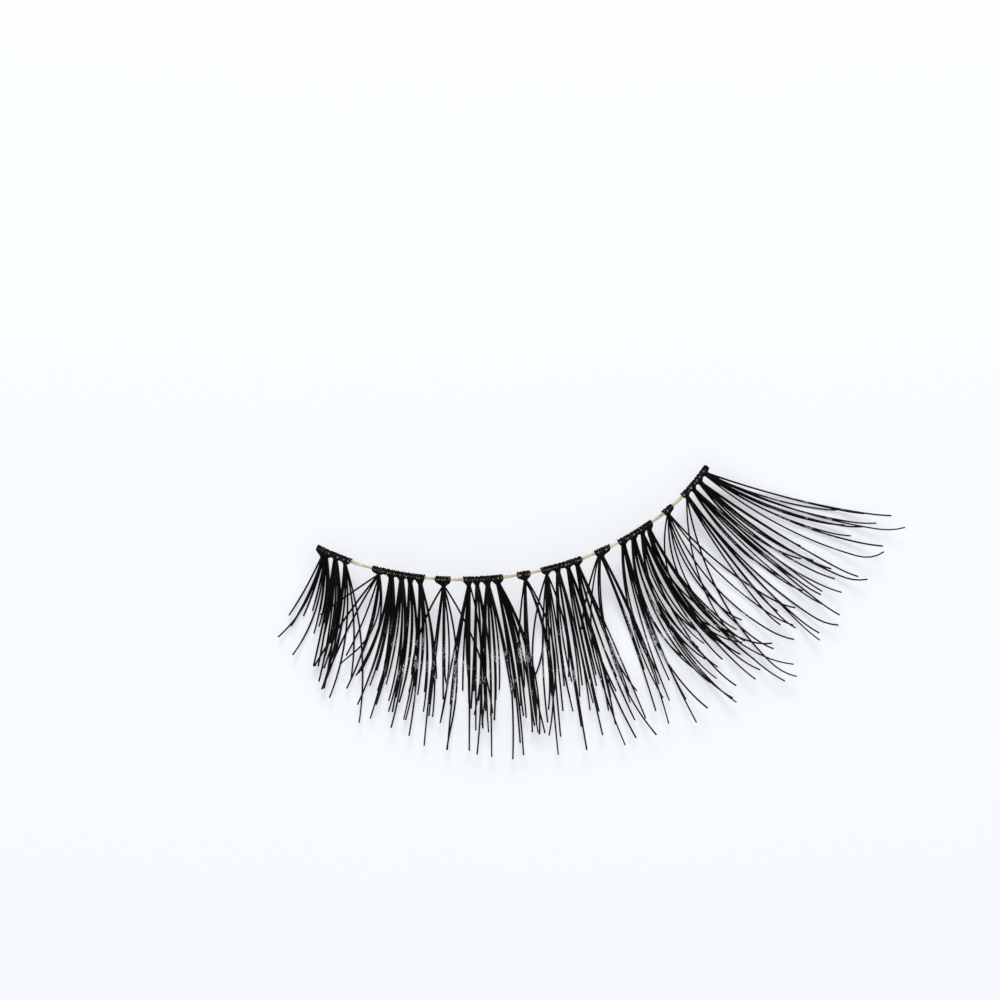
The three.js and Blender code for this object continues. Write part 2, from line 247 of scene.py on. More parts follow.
# The hairs' look: scales of its patterns, and where its steps begin and end.
STREAK_SCALE = (9.0, 160.0, 1.0)
# The beads, clumps and belly steps place the painted glints: pale highlights painted into the hairs' colour.
BEAD_SCALE = (60.0, 150.0, 5.0)
CLUMP_SCALE = 800.0
GRAIN_STEP = (0.50, 0.54)
CLUMP_STEP = (0.54, 0.57)
BELLY_BEGIN = (0.44, 0.54)
BELLY_END = (0.70, 0.80)
BROWN_STEP = (0.55, 1.0)
PALE_STEP = (0.80, 1.0)
PALE_SHARE = 0.85
PAINTED_GLINT_SHARE = 0.9
HAIR_ROUGHNESS = 0.40
STREAK_ROUGHNESS = 0.16
PAINTED_GLINT_ROUGHNESS = 0.12

# The thread's look: scales of its patterns, how they mix, and where its step begins and ends.
FIBRE_SCALE = (14.0, 260.0, 1.0)
PATCH_SCALE = 1400.0
FIBRE_SHARE = 0.6
PATCH_SHARE = 0.4
SHADE_STEP = (0.38, 0.62)
THREAD_ROUGHNESS = 0.70
FIBRE_ROUGHNESS = 0.2

# The photograph's frame: its width on the surface and in pixels, the pixel where the band begins, how far the
# frame is turned, and its middle as seen from the band's inner end.
PHOTO_WIDTH = 75.0 * MM
PHOTO_PIXELS = 1000
BAND_PIXEL = (317.7, 546.0)
PHOTO_TURN = -11.64
PHOTO_MIDDLE = (14.08 * MM, 0.714 * MM)
SENSOR = 36.0
CLIP_SHARE = 0.01
KEY_COLOUR = (1.0, 0.975, 0.94)


class LashSettings(bpy.types.PropertyGroup):
    """Sizes and colours of the hairs."""

    inner_radius: bpy.props.FloatProperty(
        name="Inner Radius", description="Half the thickness of the lashes at the inner corner",
        default=0.074 * MM, subtype="DISTANCE", unit="LENGTH", precision=6)
    outer_radius: bpy.props.FloatProperty(
        name="Outer Radius", description="Half the thickness of the lashes at the outer corner",
        default=0.066 * MM, subtype="DISTANCE", unit="LENGTH", precision=6)
    loop_radius: bpy.props.FloatProperty(
        name="Loop Radius", description="Half the thickness of a hair where it loops over the thread",
        default=0.052 * MM, subtype="DISTANCE", unit="LENGTH", precision=6)
    leg_radius: bpy.props.FloatProperty(
        name="Leg Radius", description="Half the thickness of a hair between the thread and the neck",
        default=0.070 * MM, subtype="DISTANCE", unit="LENGTH", precision=6)
    tip_share: bpy.props.FloatProperty(
        name="Tip Share", description="Thickness of the blunt tip as a share of the lash's", default=0.88,
        min=0, max=1, subtype="FACTOR")
    black: bpy.props.FloatVectorProperty(
        name="Black", description="Colour of most of the hairs", default=(0.0070, 0.0060, 0.0068),
        subtype="COLOR", size=3, min=0, max=1)
    brown: bpy.props.FloatVectorProperty(
        name="Brown", description="Colour of the brownest hairs", default=(0.0130, 0.0090, 0.0095),
        subtype="COLOR", size=3, min=0, max=1)
    tip: bpy.props.FloatVectorProperty(
        name="Tip", description="Colour of the thin ends", default=(0.0220, 0.0140, 0.0125),
        subtype="COLOR", size=3, min=0, max=1)
    # Painted highlight: pale glints painted onto the bellies, which also glow with painted light.
    painted_glint: bpy.props.FloatVectorProperty(
        name="Fleck", description="Colour of the glossy flecks on the bellies", default=(0.78, 0.80, 0.84),
        subtype="COLOR", size=3, min=0, max=1)
    painted_glint_glow: bpy.props.FloatProperty(
        name="Shine", description="Strength of the light in the flecks", default=0.20, min=0)


class ThreadSettings(bpy.types.PropertyGroup):
    """Size and colours of the thread that carries the knots."""

    diameter: bpy.props.FloatProperty(
        name="Diameter", description="Thickness of the twisted thread", default=0.27 * MM,
        subtype="DISTANCE", unit="LENGTH", precision=6)
    pitch: bpy.props.FloatProperty(
        name="Pitch", description="Length of one full twist of the plies", default=3.2 * MM,
        subtype="DISTANCE", unit="LENGTH", precision=6)
    plies: bpy.props.IntProperty(
        name="Plies", description="How many plies are twisted together", default=2, min=2, max=4)
    cream: bpy.props.FloatVectorProperty(
        name="Cream", description="Colour of the thread's outside", default=(0.97, 0.90, 0.72),
        subtype="COLOR", size=3, min=0, max=1)
    # The ochre between the fibres is painted shade of the crevices between them, laid out by noise streaks
    # and patches.
    painted_crevice_shade: bpy.props.FloatVectorProperty(
        name="Ochre", description="Colour between the thread's fibres", default=(0.62, 0.46, 0.24),
        subtype="COLOR", size=3, min=0, max=1)
    # The glow is painted light: the thread's own colour given off by emission, so the cotton reads brighter
    # than its lighting makes it.
    painted_glow: bpy.props.FloatProperty(
        name="Glow", description="Strength of the light that soaks through the thin cotton", default=0.16,
        min=0)


class StageSettings(bpy.types.PropertyGroup):
    """The surface, the light and the camera."""

    floor: bpy.props.FloatVectorProperty(
        name="Floor", description="Colour of the surface", default=(0.90, 0.91, 0.94),
        subtype="COLOR", size=3, min=0, max=1)
    floor_size: bpy.props.FloatProperty(
        name="Floor Size", description="Length of the surface's sides", default=4.0,
        subtype="DISTANCE", unit="LENGTH")
    floor_glow: bpy.props.FloatProperty(
        name="Floor Glow", description="Strength of the light that comes up through the surface",
        default=0.49, min=0)
    sky: bpy.props.FloatVectorProperty(
        name="Sky", description="Colour of the light from all round", default=(0.88, 0.94, 1.0),
        subtype="COLOR", size=3, min=0, max=1)
    sky_strength: bpy.props.FloatProperty(
        name="Sky Strength", description="Strength of the light from all round", default=0.38, min=0)
    key_power: bpy.props.FloatProperty(
        name="Key Power", description="Power of the soft light behind the band", default=0.85, min=0,
        unit="POWER")
    key_size: bpy.props.FloatProperty(
        name="Key Size", description="Width of the soft light", default=0.22, subtype="DISTANCE",
        unit="LENGTH")
    key_distance: bpy.props.FloatProperty(
        name="Key Distance", description="How far the soft light stands from the strip", default=0.5,
        subtype="DISTANCE", unit="LENGTH")
    key_elevation: bpy.props.FloatProperty(
        name="Key Elevation", description="Height of the soft light above the surface, as an angle",
        default=math.radians(46), subtype="ANGLE", unit="ROTATION")
    focal_length: bpy.props.FloatProperty(
        name="Focal Length", description="Focal length of the camera", default=250, unit="CAMERA")


class StripSettings(bpy.types.PropertyGroup):
    """Everything that the panel shows."""

    lash: bpy.props.PointerProperty(
        type=LashSettings, name="Lashes", description="Sizes and colours of the hairs")
    thread: bpy.props.PointerProperty(
        type=ThreadSettings, name="Thread", description="Size and colours of the thread")
    stage: bpy.props.PointerProperty(
        type=StageSettings, name="Stage", description="The surface, the light and the camera")


def mix(low, high, share):
    """The value at a share of the way from low to high."""
    return low + (high - low) * share


def smooth(low, high, value):
    """0 below low, 1 above high, and smooth between."""
    share = min(max((value - low) / (high - low), 0.0), 1.0)
    return share * share * (3 - 2 * share)


def toward(heading):
    """The level direction of a heading in degrees from -Y towards +X."""
    return Vector((math.sin(math.radians(heading)), -math.cos(math.radians(heading)), 0))


class Band:
    """The thread's centre line, measured along its length."""

    def __init__(self):
        crown = (4 * BAND_MIDDLE_HEIGHT - BAND_END_HEIGHT) / 3
        sag = -4 / 3 * BAND_BOW
        self.handles = (
            Vector((0, 0, BAND_END_HEIGHT)),
            Vector((BAND_INNER_HANDLE * BAND_SPAN, sag, crown)),
            Vector((BAND_OUTER_HANDLE * BAND_SPAN, sag, crown)),
            Vector((BAND_SPAN, 0, BAND_END_HEIGHT)),
        )
        points = [self.cubic(i / BAND_SAMPLES) for i in range(BAND_SAMPLES + 1)]
        low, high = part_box("band_thread")
        middle_x = (low.x + high.x) / 2
        sunk = max(p.y for p in points) - min(p.y for p in points)
        top_y = (low.y + high.y + sunk) / 2
        self.shift = Vector((middle_x - BAND_SPAN / 2, top_y, 0))
        self.points = [p + self.shift for p in points]
        self.lengths = [0.0]
        for before, after in zip(self.points, self.points[1:]):
            self.lengths.append(self.lengths[-1] + (after - before).length)
        self.length = self.lengths[-1]

    def cubic(self, t):
        a, b, c, d = self.handles
        u = 1 - t
        return a * u ** 3 + b * (3 * u * u * t) + c * (3 * u * t * t) + d * t ** 3

    def at(self, share):
        """The point and the tangent at a share of the band's length."""
        wanted = min(max(share, 0.0), 1.0) * self.length
        i = next(k for k in range(1, len(self.lengths)) if self.lengths[k] >= wanted - LENGTH_TOLERANCE)
        step = self.lengths[i] - self.lengths[i - 1]
        before, after = self.points[i - 1], self.points[i]
        tangent = (after - before).normalized()
        return before.lerp(after, (wanted - self.lengths[i - 1]) / step), tangent


BAND = Band()


def photo_place(pixel):
    """The level place in the frame of a pixel of the photograph."""
    aside = (pixel[0] - BAND_PIXEL[0]) * PHOTO_WIDTH / PHOTO_PIXELS
    down = (pixel[1] - BAND_PIXEL[1]) * PHOTO_WIDTH / PHOTO_PIXELS
    start = BAND.points[0]
    return Vector((start.x, start.y, 0)) + toward(PHOTO_TURN + 90) * aside + toward(PHOTO_TURN) * down


def polar(way):
    """The heading and the length of a level way."""
    return math.degrees(math.atan2(way.x, -way.y)), way.length


def tube_template(sides, steps):
    """A closed tube of unit radius along Z from 0 to 1, with a UV map round and along it."""
    bm = bmesh.new()
    bmesh.ops.create_cone(bm, cap_ends=True, cap_tris=False, segments=sides, radius1=1, radius2=1, depth=1)
    bmesh.ops.translate(bm, verts=bm.verts, vec=(0, 0, 0.5))
    lengthwise = [e for e in bm.edges if abs(e.verts[0].co.z - e.verts[1].co.z) > 0.5]
    bmesh.ops.subdivide_edges(bm, edges=lengthwise, cuts=steps - 1, use_grid_fill=True)
    uv = bm.loops.layers.uv.new("strand")
    for face in bm.faces:
        middle = face.calc_center_median()
        centre_turn = math.atan2(middle.y, middle.x) / math.tau
        for loop in face.loops:
            turn = math.atan2(loop.vert.co.y, loop.vert.co.x) / math.tau
            if centre_turn - turn > 0.5:
                turn += 1
            if turn - centre_turn > 0.5:
                turn -= 1
            loop[uv].uv = (turn, loop.vert.co.z)
    for face in bm.faces:
        face.smooth = len(face.verts) == 4
    mesh = bpy.data.meshes.new("tube")
    bm.to_mesh(mesh)
    bm.free()
    return mesh


class StrandMesh:
    """A mesh to which tubes are added one after another, each bent along its own path."""

    def __init__(self, name):
        self.name = name
        self.bm = bmesh.new()
        self.share = self.bm.verts.layers.float.new("lash_share")
        self.tone = self.bm.verts.layers.float.new("tone")
        # Each vertex also carries the strength of the painted glints, highlights painted on the hairs.
        self.painted_glint_strength = self.bm.verts.layers.float.new("painted_glint_strength")
        self.templates = {}

    def add(self, sides, points, radii, shares, tone, painted_glint_strength=0.0):
        """One strand: a tube through the points, with a radius and a share of the lash's length at each."""
        steps = len(points) - 1
        if (sides, steps) not in self.templates:
            self.templates[sides, steps] = tube_template(sides, steps)
        first = len(self.bm.verts)
        self.bm.from_mesh(self.templates[sides, steps])
        self.bm.verts.ensure_lookup_table()
        frames = carried_frames(points)
        for vert in self.bm.verts[first:]:
            ring = round(vert.co.z * steps)
            aside, above = frames[ring]
            x, y = vert.co.x, vert.co.y
            vert.co = points[ring] + (aside * x + above * y) * radii[ring]
            vert[self.share] = shares[ring]
            vert[self.tone] = tone
            vert[self.painted_glint_strength] = painted_glint_strength

    def add_even(self, sides, points, radius, tone):
        """A strand of one thickness that isn't part of a lash."""
        self.add(sides, points, [radius] * len(points), [0.0] * len(points), tone)

    def finish(self):
        """The object that holds all the strands."""
        mesh = bpy.data.meshes.new(self.name)
        self.bm.normal_update()
        self.bm.to_mesh(mesh)
        self.bm.free()
        for template in self.templates.values():
            bpy.data.meshes.remove(template)
        made = bpy.data.objects.new(self.name, mesh)
        bpy.context.scene.collection.objects.link(made)
        return made


def carried_frames(points):
    """Two directions across the path at each point, carried along it without twist."""
    last = len(points) - 1
    tangents = [(points[min(i + 1, last)] - points[max(i - 1, 0)]).normalized() for i in range(last + 1)]
    aside = tangents[0].orthogonal().normalized()
    frames = []
    for i, tangent in enumerate(tangents):
        if i:
            aside = aside.copy()
            aside.rotate(tangents[i - 1].rotation_difference(tangent))
        aside = (aside - tangent * aside.dot(tangent)).normalized()
        frames.append((aside, tangent.cross(aside)))
    return frames


def bezier(start, start_pull, end_pull, end, steps):
    """Points of a cubic from start to end, without the start itself."""
    made = []
    for i in range(1, steps + 1):
        t = i / steps
        u = 1 - t
        made.append(start * u ** 3 + (start + start_pull) * (3 * u * u * t)
                    + (end - end_pull) * (3 * u * t * t) + end * t ** 3)
    return made


class TuftPlace:
    """Where one tuft's knot, legs and neck are, and how high its lashes run."""

    def __init__(self, name):
        self.row = TUFTS[name]
        index = int(name[1:]) - 1
        ends = KNOT_ENDS[name[0]]
        self.start, self.end = ends[index], ends[index + 1]
        self.joins = (index > 0, index < len(ends) - 2)
        self.share = (self.start + self.end) / 2
        self.centre, self.along = BAND.at(self.share)
        self.knot_width = (self.end - self.start) * BAND.length
        self.height = self.centre.z
        self.neck = photo_place(self.row["neck"]) + Vector((0, 0, self.height))
        self.leg_heading, self.leg_reach = polar(self.neck - self.centre)
        self.length = self.row["length"] * LONGEST_LASH
        pitch = math.atan2(2 * self.height, self.leg_reach + BELLY_SHARE * self.length)
        level = Vector((self.along.y, -self.along.x, 0)).normalized()
        out = level * math.cos(pitch) - Vector((0, 0, 1)) * math.sin(pitch)
        self.out = (out - self.along * out.dot(self.along)).normalized()
        self.up = self.out.cross(self.along)
        if self.up.z < 0:
            self.up.negate()

    def entries(self):
        """The tuft's lashes in order, each as the table has a guessed one."""
        made = list(self.row["lashes"])
        neck = photo_place(self.row["neck"])
        for x, y, *own in self.row["tips"]:
            heading, reach = polar(photo_place((x, y)) - neck)
            made.append((heading, reach / MM, *own))
        return sorted(made)

    def round_thread(self, aside, angle, distance):
        """A point beside the thread: angle 0 is out towards the lashes and a quarter turn is up."""
        across = self.out * math.cos(angle) + self.up * math.sin(angle)
        return self.centre + self.along * aside + across * distance

    def height_at(self, distance, span, resting):
        """Height at a distance from the thread: down to the belly at the surface, then up to the tip."""
        belly = self.leg_reach + BELLY_SHARE * span
        if distance < belly:
            return resting + (self.height - resting) * (1 - distance / belly) ** 2
        rise = TIP_RISE * span / LONGEST_LASH
        return resting + rise * ((distance - belly) / (self.leg_reach + span - belly)) ** 2


def bunched(rank, count, dice):
    """Pulls a lash to its bunch, so that pale slits open between the bunches below the neck."""
    bunches = max(round(count / BUNCH_SIZE), 2)
    middle = min(int(rank * bunches), bunches - 1) / (bunches - 1)
    return mix(rank, middle, dice.uniform(*BUNCH_PULL))


class Lash:
    """One lash from the neck to its tip."""

    def __init__(self, place, entry, rank, lane, settings, dice):
        heading = entry[0]
        reach = entry[1] * MM
        jitter = dice.uniform(-START_JITTER, START_JITTER)
        spread = bunched(rank, len(place.row["lashes"]) + len(place.row["tips"]), dice)
        self.start = entry[2] if len(entry) > 2 else mix(*place.row["fan"], spread) + jitter
        self.hook = entry[3] if len(entry) > 3 else place.row.get("bend", 0) * dice.uniform(*BEND_SPREAD)
        self.place = place
        common_radius = mix(settings.inner_radius, settings.outer_radius, place.share)
        self.radius = common_radius * dice.uniform(*RADIUS_SPREAD)
        self.tip_radius = self.radius * settings.tip_share * dice.uniform(*TIP_SPREAD)
        self.resting = self.radius + lane * LANE_STEP
        self.span = max(reach, SHORTEST_CURL * place.length) * dice.uniform(*SPAN_SPREAD)
        self.across = (rank - 0.5) * max(place.row["width"] * MM - 2 * self.radius, 0)
        self.lift = (lane - (LANES - 1) / 2) * LANE_STEP
        self.plan = self.plan_points(heading, reach)

    def plan_points(self, heading, reach):
        """Level steps from the neck to the tip: the heading turns steadily, and a hook turns at the end."""
        end = self.start + (heading - self.start) * (BEND_POWER + 1)
        spots = [Vector((0, 0, 0))]
        for i in range(LASH_STEPS):
            share = (i + 0.5) / LASH_STEPS
            now = mix(self.start, end, share ** BEND_POWER)
            now += self.hook * smooth(*HOOK_STRETCH, share)
            spots.append(spots[-1] + toward(now))
        chord = spots[-1]
        stretch = reach / chord.length
        turned = math.atan2(chord.x, -chord.y)
        swing = math.radians(heading) - turned
        cosine, sine = math.cos(swing), math.sin(swing)
        return [Vector((p.x * cosine - p.y * sine, p.x * sine + p.y * cosine, 0)) * stretch for p in spots]

    def points(self):
        """The lash's centre line from the neck outward."""
        place = self.place
        aside = toward((self.start + place.leg_heading) / 2 + 90)
        step = (self.plan[1] - self.plan[0]).length
        made = []
        for i, spot in enumerate(self.plan):
            share = i / LASH_STEPS
            distance = place.leg_reach + step * i
            settled = smooth(0, BELLY_SHARE, share)
            level = place.neck + aside * self.across + spot
            height = place.height_at(distance, self.span, self.resting) + self.lift * (1 - settled)
            made.append(Vector((level.x, level.y, max(height, self.radius))))
        return made

    def radii(self):
        """Half the lash's thickness at each of its points."""
        return [mix(self.radius, self.tip_radius, smooth(*TIP_TAPER, i / LASH_STEPS))
                for i in range(LASH_STEPS + 1)]


def leg_points(place, aside, side, lash, distance):
    """The leg from the thread to the neck: it leaves the loop's top or bottom and turns into the lash."""
    leaving = place.round_thread(aside, side * math.pi / 2, distance)
    arriving = lash.points()[:2]
    pull = (arriving[0] - leaving).length
    direction = (arriving[1] - arriving[0]).normalized()
    return [leaving] + bezier(leaving, place.out * (LEG_LEAVING * pull), direction * (LEG_ARRIVING * pull),
                              arriving[0], LEG_STEPS)


def add_hair(strands, place, aside, upper, lower, settings, distance, steps, dice):
    """One hair folded over the thread: two lashes or short ends, their legs and the loop between them."""
    lean = dice.uniform(-LOOP_LEAN, LOOP_LEAN)
    top, bottom = aside - lean / 2, aside + lean / 2
    back = [place.round_thread(mix(top, bottom, i / LOOP_STEPS), math.pi * (0.5 + i / LOOP_STEPS), distance)
            for i in range(1, LOOP_STEPS)]
    points = (upper.points()[steps:0:-1] + leg_points(place, top, 1, upper, distance)[::-1] + back
              + leg_points(place, bottom, -1, lower, distance) + lower.points()[1:steps + 1])
    leg = [mix(settings.loop_radius, settings.leg_radius, smooth(*LEG_SWELLING, i / LEG_STEPS))
           for i in range(LEG_STEPS + 1)]
    bare = 2 * len(leg) + len(back)
    radii = (upper.radii()[steps:0:-1] + leg[::-1] + [settings.loop_radius] * len(back) + leg
             + lower.radii()[1:steps + 1])
    lash_shares = [i / LASH_STEPS for i in range(steps + 1)]
    shares = lash_shares[:0:-1] + [0.0] * bare + lash_shares[1:]
    strands.add(HAIR_SIDES, points, radii, shares, dice.random(), place.row["painted_glint_strength"])


def add_edge(strands, place, dice, angle, distance, radius, wave, sway):
    """A hair laid along the knot, waving over and under the loops, and on to the next knot of the row."""
    points = []
    offset = dice.uniform(0, math.tau)
    left, right = (place.knot_width / 2 + (EDGE_OVERLAP if joined else -EDGE_INSET) for joined in place.joins)
    for i in range(EDGE_STEPS + 1):
        aside = mix(-left, right, i / EDGE_STEPS)
        lifted = distance + wave * math.sin(math.tau * aside / EDGE_WAVE_PITCH + offset)
        swayed = angle + sway * math.sin(math.tau * aside / EDGE_SWAY_PITCH + 2 * offset)
        points.append(place.round_thread(aside, swayed, lifted))
    strands.add_even(HAIR_SIDES, points, radius, dice.random())


def add_end_wrap(strands, place, side, settings, dice):
    """Hairs drawn over the thread's own end, from the knot's back edge round to its front."""
    for inset, level in itertools.product(END_WRAP_INSETS, END_WRAP_LEVELS):
        height = level * MM
        ring = math.sqrt(END_WRAP_RADIUS ** 2 - height ** 2)
        points = []
        for i in range(EDGE_STEPS + 1):
            angle = math.pi * i / EDGE_STEPS
            beyond = END_WRAP_REACH[side] * ring / END_WRAP_RADIUS * math.sin(angle)
            aside = side * (place.knot_width / 2 - inset + beyond)
            points.append(place.centre + place.along * aside + place.out * (ring * math.cos(angle))
                          + place.up * height)
        strands.add_even(HAIR_SIDES, points, settings.loop_radius, dice.random())


def filled(place, dice):
    """The entries of a tuft in order, with shorter lashes between them where it is dense."""
    entries = place.entries()
    between = []
    for _ in range(place.row.get("fill", 0)):
        k = dice.randrange(len(entries) - 1)
        heading = mix(entries[k][0], entries[k + 1][0], dice.random())
        between.append((heading, min(entries[k][1], entries[k + 1][1]) * dice.uniform(*FILL_REACH)))
    return sorted(entries + between)


def build_tuft(name, settings):
    """One tuft: hairs folded over the thread, those laid along the knot, and the wraps at the band's ends."""
    place = TuftPlace(name)
    dice = random.Random(f"{SEED}{name}")
    entries = filled(place, dice)
    lanes = [i % LANES for i in range(len(entries))]
    dice.shuffle(lanes)
    lashes = [Lash(place, entry, i / (len(entries) - 1), lanes[i], settings, dice)
              for i, entry in enumerate(entries)]
    pairs = list(zip(lashes[0::2], lashes[1::2]))
    distance = bpy.context.scene.eyelash_strip.thread.diameter / 2 + settings.loop_radius
    loops = max(len(pairs), round(place.knot_width / LOOP_PITCH))
    taken = [round((k + 0.5) / len(pairs) * loops - 0.5) for k in range(len(pairs))]
    strands = StrandMesh(f"lashes_{name}")
    for k in range(loops):
        stray = dice.uniform(-LOOP_STRAY, LOOP_STRAY)
        aside = ((k + 0.5 + stray) / loops - 0.5) * place.knot_width
        ring = distance + dice.uniform(0, LOOP_UNEVENNESS)
        if k in taken:
            upper, lower = pairs[taken.index(k)]
            add_hair(strands, place, aside, upper, lower, settings, ring, LASH_STEPS, dice)
        else:
            upper, lower = pairs[round(k / loops * (len(pairs) - 1))]
            add_hair(strands, place, aside, upper, lower, settings, ring, SHORT_STEPS, dice)
    for edge in EDGE_HAIRS:
        add_edge(strands, place, dice, **edge)
    if place.start == 0:
        add_end_wrap(strands, place, -1, settings, dice)
    if place.end == 1:
        add_end_wrap(strands, place, 1, settings, dice)
    return strands.finish()


def build_thread(settings):
    """The twisted thread from the inner knot to the outer one."""
    strands = StrandMesh("thread_plies")
    ply_radius = settings.diameter / 2 * PLY_SHARE
    ply_offset = settings.diameter / 2 - ply_radius
    for ply in range(settings.plies):
        points = []
        for i in range(PLY_STEPS + 1):
            share = mix(*THREAD_ENDS, i / PLY_STEPS)
            spot, tangent = BAND.at(share)
            level = Vector((tangent.y, -tangent.x, 0)).normalized()
            above = level.cross(tangent)
            angle = math.tau * (share * BAND.length / settings.pitch + ply / settings.plies)
            points.append(spot + (level * math.cos(angle) + above * math.sin(angle)) * ply_offset)
        strands.add_even(PLY_SIDES, points, ply_radius, ply / settings.plies)
    return strands.finish()


class Value:
    """An output socket of a shader; arithmetic on it adds Math nodes."""

    def __init__(self, look, socket):
        self.look = look
        self.socket = socket

    def math(self, operation, first, second):
        return self.look.node("ShaderNodeMath", {"operation": operation}, {0: first, 1: second})

    def __add__(self, other):
        return self.math("ADD", self, other)

    def __radd__(self, other):
        return self.math("ADD", other, self)

    def __sub__(self, other):
        return self.math("SUBTRACT", self, other)

    def __rsub__(self, other):
        return self.math("SUBTRACT", other, self)

    def __mul__(self, other):
        return self.math("MULTIPLY", self, other)


class Look:
    """A material with one Principled shader."""

    def __init__(self, name):
        self.material = bpy.data.materials.new(name)
        self.material.use_nodes = True
        self.tree = self.material.node_tree
        self.shader = next(n for n in self.tree.nodes if n.type == "BSDF_PRINCIPLED")

    def node(self, kind, settings=None, inputs=None, output=0):
        """A node of that type: its settings are set first, then its sockets."""
        made = self.tree.nodes.new(kind)
        for key, value in (settings or {}).items():
            setattr(made, key, value)
        for key, value in (inputs or {}).items():
            self.feed(made.inputs[key], value)
        return Value(self, made.outputs[output])

    def feed(self, socket, value):
        if isinstance(value, Value):
            self.tree.links.new(value.socket, socket)
        else:
            socket.default_value = value

    def finish(self, **sockets):
        """Sets or links the shader's own sockets, named with underscores for spaces."""
        for key, value in sockets.items():
            self.feed(self.shader.inputs[key.replace("_", " ")], value)
        return self.material

    def step(self, value, low, high):
        """0 below low, 1 above high, and smooth between."""
        return self.node("ShaderNodeMapRange", {"interpolation_type": "SMOOTHSTEP"},
                         {"Value": value, "From Min": low, "From Max": high})

    def blend(self, share, low, high):
        """Two colours mixed by a share."""
        return self.node("ShaderNodeMix", {"data_type": "RGBA"}, {"Factor": share, 6: low, 7: high}, output=2)

    def attribute(self, name):
        return self.node("ShaderNodeAttribute", {"attribute_name": name}, output="Fac")

    def noise(self, scale, coordinates, detail=2.0):
        return self.node("ShaderNodeTexNoise", None,
                         {"Vector": coordinates, "Scale": scale, "Detail": detail})

    def scaled(self, coordinates, scale):
        return self.node("ShaderNodeMapping", None, {"Vector": coordinates, "Scale": scale})


def opaque(colour):
    return (*colour, 1.0)


def lash_look(settings):
    """Near-black synthetic hair: browner in some and at the thin ends, with highlights painted on the bellies
    as glints that also glow.
    """
    look = Look("lash_hair")
    place = look.node("ShaderNodeTexCoord", output="Object")
    strand = look.node("ShaderNodeUVMap", {"uv_map": "strand"})
    share = look.attribute("lash_share")
    tone = look.attribute("tone")
    streaks = look.noise(1.0, look.scaled(strand, STREAK_SCALE), detail=3.0)
    turn = look.node("ShaderNodeSeparateXYZ", None, {"Vector": strand}, output="X")
    along = look.node("ShaderNodeSeparateXYZ", None, {"Vector": strand}, output="Y")
    beads = look.node("ShaderNodeCombineXYZ", None, {
        "X": tone * BEAD_SCALE[0], "Y": along * BEAD_SCALE[1], "Z": turn * BEAD_SCALE[2]})
    # Painted highlights: grain, clumps and belly mask pale glints painted into the base colour, which also
    # glow by emission.
    grain = look.step(look.noise(1.0, beads), *GRAIN_STEP)
    clumps = look.step(look.noise(CLUMP_SCALE, place), *CLUMP_STEP)
    belly = look.step(share, *BELLY_BEGIN) * (1 - look.step(share, *BELLY_END)) * look.attribute("painted_glint_strength")
    painted_glints = grain * clumps * belly
    base = look.blend(look.step(tone, *BROWN_STEP), opaque(settings.black), opaque(settings.brown))
    base = look.blend(look.step(share, *PALE_STEP) * PALE_SHARE, base, opaque(settings.tip))
    base = look.blend(painted_glints * PAINTED_GLINT_SHARE, base, opaque(settings.painted_glint))
    rough = HAIR_ROUGHNESS + streaks * STREAK_ROUGHNESS - painted_glints * PAINTED_GLINT_ROUGHNESS
    bump = look.node("ShaderNodeBump", None, {"Strength": 0.25, "Distance": 0.02 * MM, "Height": streaks})
    painted_glint_glow = look.blend(painted_glints, opaque((0.0, 0.0, 0.0)), opaque(settings.painted_glint))
    return look.finish(Base_Color=base, Roughness=rough, Normal=bump, Specular_IOR_Level=0.10,
                       Emission_Color=painted_glint_glow, Emission_Strength=settings.painted_glint_glow)


def thread_look(settings):
    """Cream cotton: fine fibres that run with the twist, darker ochre between them as painted shade of the
    crevices, and a painted glow.
    """
    look = Look("thread_cotton")
    place = look.node("ShaderNodeTexCoord", output="Object")
    strand = look.node("ShaderNodeUVMap", {"uv_map": "strand"})
    fibres = look.noise(1.0, look.scaled(strand, FIBRE_SCALE), detail=3.0)
    patches = look.noise(PATCH_SCALE, place)
    shade = look.step(fibres * FIBRE_SHARE + patches * PATCH_SHARE, *SHADE_STEP)
    base = look.blend(shade, opaque(settings.painted_crevice_shade), opaque(settings.cream))
    rough = THREAD_ROUGHNESS + fibres * FIBRE_ROUGHNESS
    bump = look.node("ShaderNodeBump", None, {"Strength": 0.6, "Distance": 0.03 * MM, "Height": fibres})
    # Emission in the thread's own colour: painted light.
    return look.finish(Base_Color=base, Roughness=rough, Normal=bump, Sheen_Weight=0.25,
                       Specular_IOR_Level=0.35, Emission_Color=base, Emission_Strength=settings.painted_glow)


def floor_look(settings):
    """A plain pale matt surface."""
    return Look("pale_surface").finish(Base_Color=opaque(settings.floor), Roughness=0.85,
                                       Specular_IOR_Level=0.1, Emission_Color=opaque(settings.floor),
                                       Emission_Strength=settings.floor_glow)


def show_as(piece, material, slot, *nodes):
    """Gives a finished piece its material and its place in the frame."""
    piece.data.materials.append(material)
    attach(piece, "root")
    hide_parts(*nodes)


